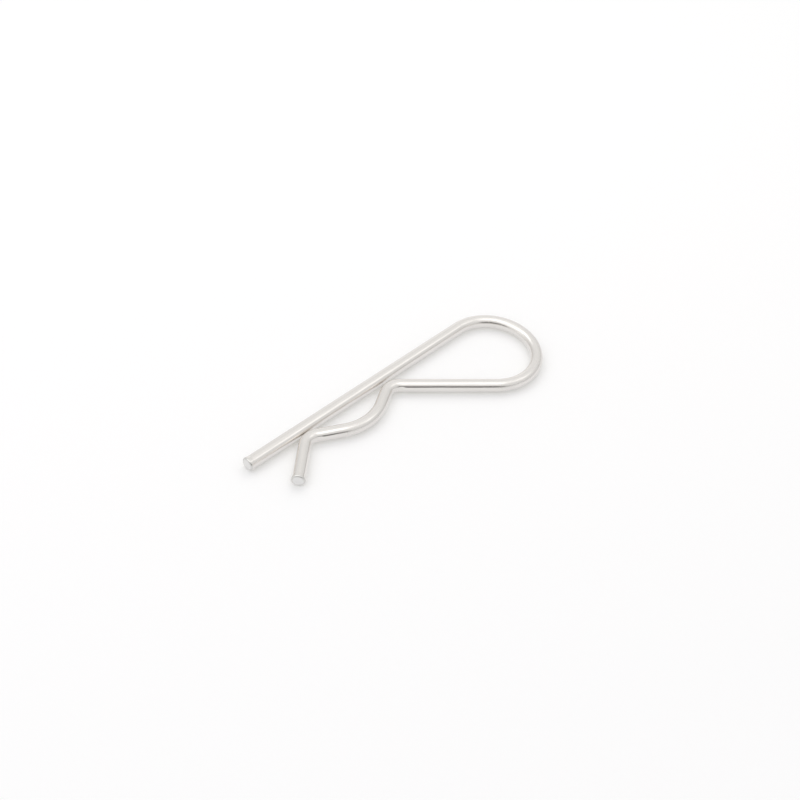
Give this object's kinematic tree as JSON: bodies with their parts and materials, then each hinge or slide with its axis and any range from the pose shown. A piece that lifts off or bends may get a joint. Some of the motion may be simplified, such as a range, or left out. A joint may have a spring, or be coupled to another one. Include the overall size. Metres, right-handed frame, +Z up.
{
  "type": "hitch r clip",
  "caption": "Spring wire R clip with a straight leg, a round pull loop and a humped leg that snaps over a shaft to lock it.",
  "frame": {"origin": "on the surface the clip lies on, under the middle of its bounding box", "axes": "+X along the straight leg towards the pull loop, +Y from the humped leg towards the straight leg, +Z up out of the plane the wire is bent in"},
  "size_m": [0.0668, 0.021, 0.0027],
  "materials": {
    "spring_wire": "bright drawn spring wire, tumbled"
  },
  "bodies": {
    "root": {"clip_wire": "spring_wire"}
  },
  "joints": []
}
